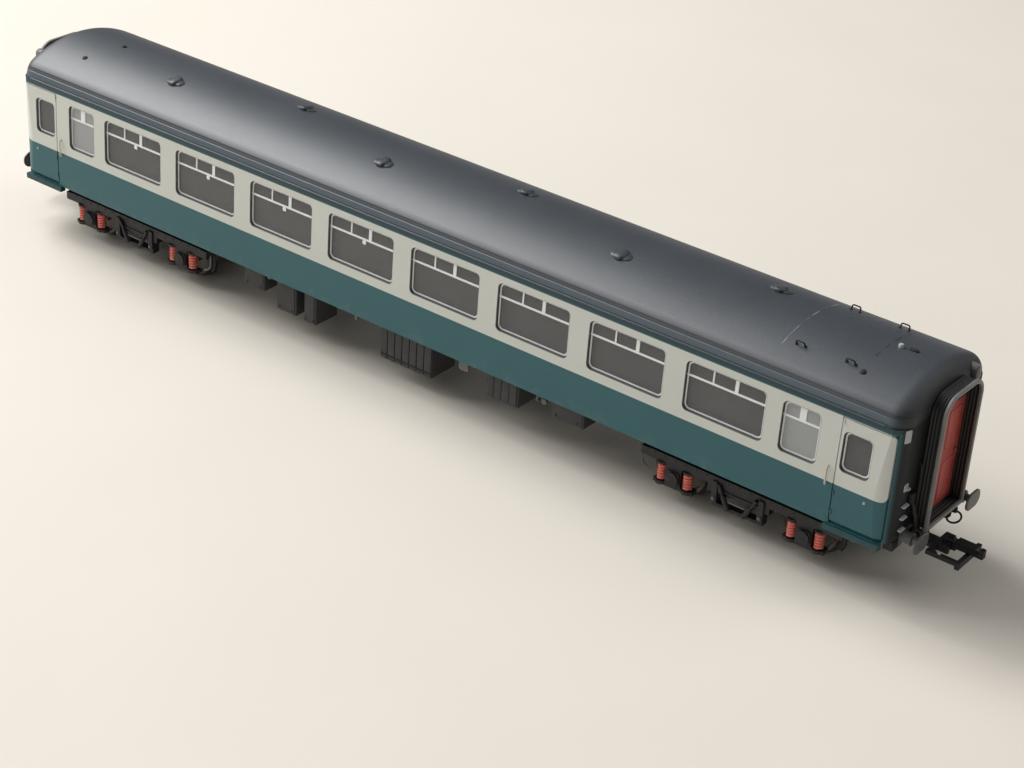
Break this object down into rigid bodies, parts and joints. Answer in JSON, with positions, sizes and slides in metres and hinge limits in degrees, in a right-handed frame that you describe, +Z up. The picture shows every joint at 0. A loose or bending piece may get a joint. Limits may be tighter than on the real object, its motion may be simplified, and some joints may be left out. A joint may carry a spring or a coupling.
{
  "type": "model railway passenger coach",
  "caption": "Small-scale model of an open passenger coach: hollow windowed body under an arched roof, two swivelling bogies, gangways, buffers and hook couplings.",
  "frame": {"origin": "under the middle of the coach, on the plane that the wheel flanges stand on", "axes": "+X along the coach towards end b, +Y across it to the left, +Z up"},
  "size_m": [0.292, 0.0388, 0.0515],
  "materials": {
    "body_paint": "satin paint in two colours with an eggshell sheen",
    "roof_paint": "satin grey paint",
    "window_glass": "clear moulded glazing, slightly smoked",
    "frame_print": "pale printed frame",
    "cream_wire": "painted wire",
    "black_plastic": "matt black moulding",
    "ballast_steel": "bare steel strip",
    "seat_plastic": "moulded seats, unpainted",
    "partition_plastic": "pale moulding",
    "grey_plastic": "mid grey moulding",
    "red_paint": "satin red paint",
    "pale_paint": "pale painted fittings",
    "spring_paint": "satin red-orange paint",
    "screw_steel": "plated screw",
    "hook_steel": "blackened metal",
    "wheel_metal": "blackened metal wheels with bright treads",
    "axle_steel": "bright turned steel"
  },
  "bodies": {
    "body": {"body_shell": "body_paint", "roof": "roof_paint", "roof_vents": "roof_paint", "roof_fittings": "black_plastic", "glazing_left": "window_glass", "glazing_right": "window_glass", "window_frames_left": "frame_print", "window_frames_right": "frame_print", "door_handrails": "cream_wire", "door_steps": "body_paint", "underframe": "black_plastic", "ballast_weight": "ballast_steel", "seating_unit": "seat_plastic", "partitions": "partition_plastic", "battery_boxes": "black_plastic", "equipment_boxes": "black_plastic", "brake_gear": "black_plastic", "gangway_a": "black_plastic", "gangway_b": "black_plastic", "gangway_plate_a": "grey_plastic", "gangway_plate_b": "grey_plastic", "gangway_door_a": "red_paint", "gangway_door_b": "red_paint", "buffers_a": "grey_plastic", "buffers_b": "grey_plastic", "end_fittings_a": "pale_paint", "end_fittings_b": "pale_paint", "end_pipes_a": "black_plastic", "end_pipes_b": "black_plastic", "bogie_a_pivot": "screw_steel", "bogie_b_pivot": "screw_steel"},
    "bogie_a": {"bogie_a_frame": "black_plastic", "bogie_a_springs": "spring_paint", "bogie_a_coupling": "black_plastic"},
    "hook_a": {"coupling_hook_a": "hook_steel"},
    "wheelset_a1": {"wheels_a1": "wheel_metal", "axle_a1": "axle_steel"},
    "wheelset_a2": {"wheels_a2": "wheel_metal", "axle_a2": "axle_steel"},
    "bogie_b": {"bogie_b_frame": "black_plastic", "bogie_b_springs": "spring_paint", "bogie_b_coupling": "black_plastic"},
    "hook_b": {"coupling_hook_b": "hook_steel"},
    "wheelset_b1": {"wheels_b1": "wheel_metal", "axle_b1": "axle_steel"},
    "wheelset_b2": {"wheels_b2": "wheel_metal", "axle_b2": "axle_steel"}
  },
  "joints": [
    {"name": "bogie_a_swivel", "type": "hinge", "parent": "body", "child": "bogie_a", "pos_m": [-0.094, 0, 0.0105], "axis": [0, 0, 1], "range_deg": [-10, 10]},
    {"name": "wheelset_a1_spin", "type": "hinge", "parent": "bogie_a", "child": "wheelset_a1", "pos_m": [-0.111, 0, 0.0069], "axis": [0, 1, 0], "continuous": true},
    {"name": "wheelset_a2_spin", "type": "hinge", "parent": "bogie_a", "child": "wheelset_a2", "pos_m": [-0.077, 0, 0.0069], "axis": [0, 1, 0], "continuous": true},
    {"name": "hook_a_lift", "type": "hinge", "parent": "bogie_a", "child": "hook_a", "pos_m": [-0.1376, 0, 0.0095], "axis": [0, 1, 0], "range_deg": [0, 20]},
    {"name": "bogie_b_swivel", "type": "hinge", "parent": "body", "child": "bogie_b", "pos_m": [0.094, 0, 0.0105], "axis": [0, 0, 1], "range_deg": [-10, 10]},
    {"name": "wheelset_b1_spin", "type": "hinge", "parent": "bogie_b", "child": "wheelset_b1", "pos_m": [0.077, 0, 0.0069], "axis": [0, 1, 0], "continuous": true},
    {"name": "wheelset_b2_spin", "type": "hinge", "parent": "bogie_b", "child": "wheelset_b2", "pos_m": [0.111, 0, 0.0069], "axis": [0, 1, 0], "continuous": true},
    {"name": "hook_b_lift", "type": "hinge", "parent": "bogie_b", "child": "hook_b", "pos_m": [0.1376, 0, 0.0095], "axis": [0, -1, 0], "range_deg": [0, 20]}
  ]
}
